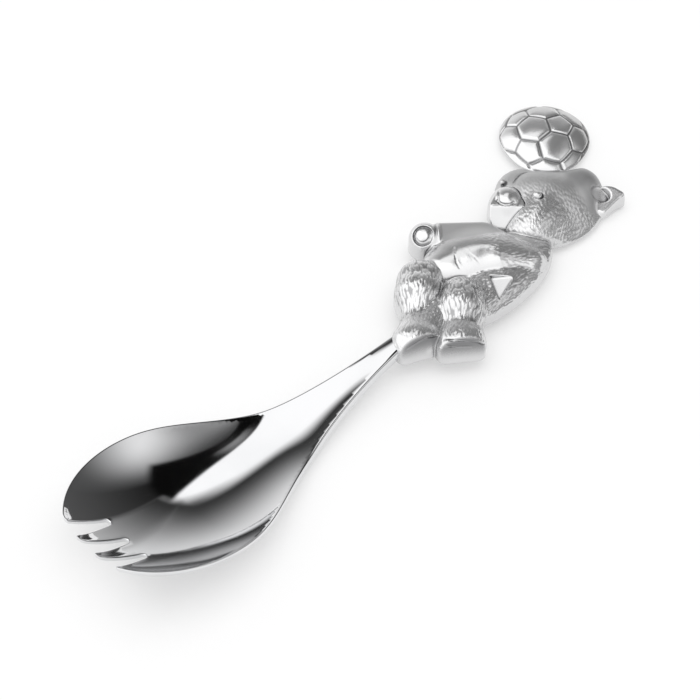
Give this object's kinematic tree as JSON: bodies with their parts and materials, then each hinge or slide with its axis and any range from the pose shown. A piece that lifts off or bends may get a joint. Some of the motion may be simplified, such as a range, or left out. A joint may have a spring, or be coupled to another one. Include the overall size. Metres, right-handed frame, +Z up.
{
  "type": "spork",
  "caption": "Child's spork: a polished steel bowl with short tines on an arched neck, set into a flat-backed cast handle shaped as a lying bear heading a ball.",
  "frame": {"origin": "centre of the whole outline, on the table the spork lies on", "axes": "+X from the tine tips to the handle's end, +Y to the side the ball is on, +Z up out of the bowl"},
  "size_m": [0.1411, 0.0461, 0.0123],
  "materials": {
    "polished_steel": "mirror polished stainless steel",
    "antiqued_pewter": "satin cast pewter, darkened in its hollows",
    "bright_pewter": "smoother cast pewter with engraved seams",
    "epoxy": "cured adhesive, out of sight"
  },
  "bodies": {
    "root": {"spork_blade": "polished_steel", "bear_casting": "antiqued_pewter", "ball_casting": "bright_pewter", "tang_bond": "epoxy"}
  },
  "joints": []
}
